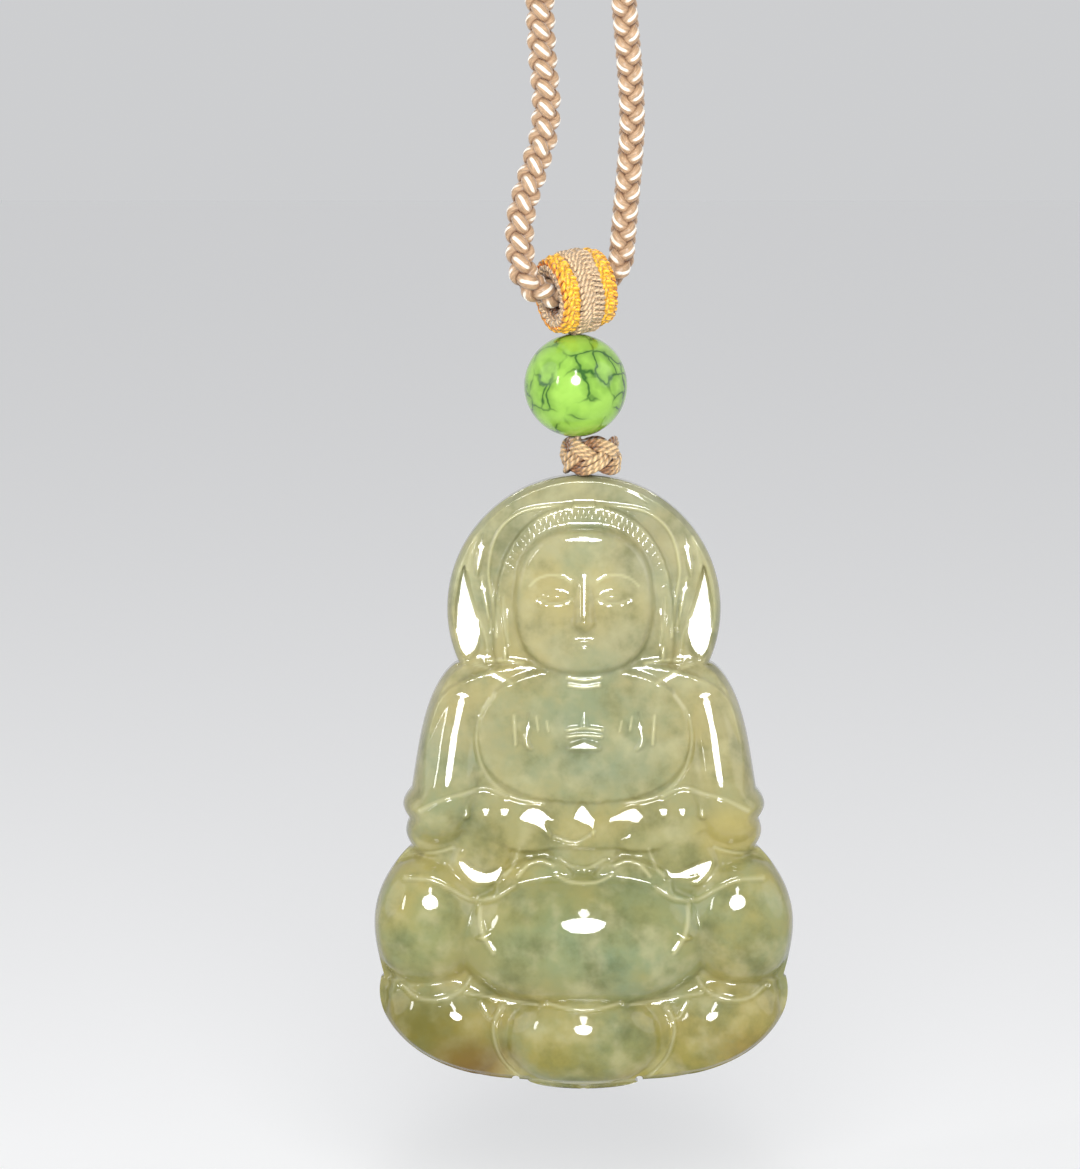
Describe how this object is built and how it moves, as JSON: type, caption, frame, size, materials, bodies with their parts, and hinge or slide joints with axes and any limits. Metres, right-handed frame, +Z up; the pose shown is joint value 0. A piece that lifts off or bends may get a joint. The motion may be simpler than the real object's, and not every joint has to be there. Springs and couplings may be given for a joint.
{
  "type": "jade figure pendant necklace",
  "caption": "Carved jade seated-figure pendant on a lotus seat, hung by a knot and a drilled bead from a woven ring on a braided silk neck cord.",
  "frame": {"origin": "underside of the neck cord at the middle of its top arc, where the loop rests on the back of the neck", "axes": "+Z up along the hanging line, the jade hangs at -Z; the carved front faces -Y; +X to the right as seen from the front"},
  "size_m": [0.1186, 0.0088, 0.3215],
  "materials": {
    "jade": "polished",
    "bead_stone": "glossy",
    "silk_cream": "satin",
    "silk_gold": "satin"
  },
  "bodies": {
    "neck_loop": {"neck_cord": "silk_cream"},
    "drop": {"bail_ring": "silk_cream", "bail_wrap_left": "silk_gold", "bail_wrap_right": "silk_gold", "bead": "bead_stone", "bead_thread": "silk_cream", "lower_knot": "silk_cream", "hanging_loop": "silk_cream", "jade_pendant": "jade"}
  },
  "joints": [
    {"name": "drop_swing", "type": "hinge", "parent": "neck_loop", "child": "drop", "pos_m": [0, 0, -0.2567], "axis": [0.8997, 0.4006, 0.1736], "range_deg": [-90, 90]}
  ]
}
